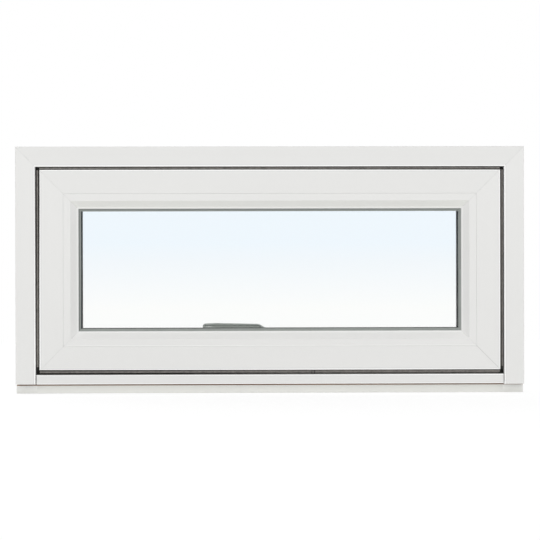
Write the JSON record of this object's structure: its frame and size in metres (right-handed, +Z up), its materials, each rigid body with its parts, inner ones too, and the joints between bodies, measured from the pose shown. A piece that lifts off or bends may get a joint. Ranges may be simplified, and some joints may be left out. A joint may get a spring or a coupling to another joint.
{
  "type": "top-hung window",
  "caption": "White timber window clad with mitred aluminium, one wide outward-opening top-hung sash with triple glass, and a cranked lever handle inside",
  "frame": {"origin": "middle of the sill's underside, where the window stands on its opening", "axes": "+X right as seen from outside, along the sill; +Y from the weather side into the room; +Z up"},
  "size_m": [0.98, 0.1195, 0.476],
  "materials": {
    "white_powder_coat": "fine matt white powder coat on aluminium",
    "white_painted_timber": "factory sprayed white satin paint on pine, bare brown wood in the sill groove",
    "dark_seal": "dull dark rubber, dusty on the weather side",
    "grey_glazing_gasket": "smooth grey rubber",
    "clear_glass": "clear float glass with a faint cool tint",
    "dark_spacer": "matt charcoal warm-edge spacer",
    "satin_handle_metal": "satin, softly brushed grey metal",
    "zinc_plated_steel": "pale zinc plate"
  },
  "bodies": {
    "window": {"frame_sill_timber": "white_painted_timber", "frame_head_timber": "white_painted_timber", "frame_left_jamb_timber": "white_painted_timber", "frame_right_jamb_timber": "white_painted_timber", "frame_head_cladding": "white_powder_coat", "frame_left_jamb_cladding": "white_powder_coat", "frame_right_jamb_cladding": "white_powder_coat", "frame_sill_cladding": "white_powder_coat", "frame_outer_gasket": "dark_seal", "frame_inner_gasket": "dark_seal", "sash_left_timber": "white_painted_timber", "sash_right_timber": "white_painted_timber", "sash_top_timber": "white_painted_timber", "sash_bottom_timber": "white_painted_timber", "sash_top_cladding": "white_powder_coat", "sash_bottom_cladding": "white_powder_coat", "sash_left_cladding": "white_powder_coat", "sash_right_cladding": "white_powder_coat", "glazing_bead_top": "white_powder_coat", "glazing_bead_bottom": "white_powder_coat", "glazing_bead_left": "white_powder_coat", "glazing_bead_right": "white_powder_coat", "outer_glazing_gasket": "grey_glazing_gasket", "inner_glazing_tape": "grey_glazing_gasket", "outer_pane": "clear_glass", "middle_pane": "clear_glass", "inner_pane": "clear_glass", "outer_spacer": "dark_spacer", "inner_spacer": "dark_spacer", "stay_left_track": "zinc_plated_steel", "stay_left_slider": "zinc_plated_steel", "stay_left_link": "zinc_plated_steel", "stay_left_arm": "zinc_plated_steel", "stay_right_track": "zinc_plated_steel", "stay_right_slider": "zinc_plated_steel", "stay_right_link": "zinc_plated_steel", "stay_right_arm": "zinc_plated_steel", "espagnolette": "zinc_plated_steel", "keeper_left": "zinc_plated_steel", "keeper_right": "zinc_plated_steel", "handle_backplate": "satin_handle_metal"},
    "handle": {"handle_lever": "satin_handle_metal"}
  },
  "joints": [
    {"name": "handle_turn", "type": "hinge", "parent": "window", "child": "handle", "pos_m": [0, 0.029, 0.112], "axis": [0, 1, 0], "range_deg": [0, 90]}
  ]
}
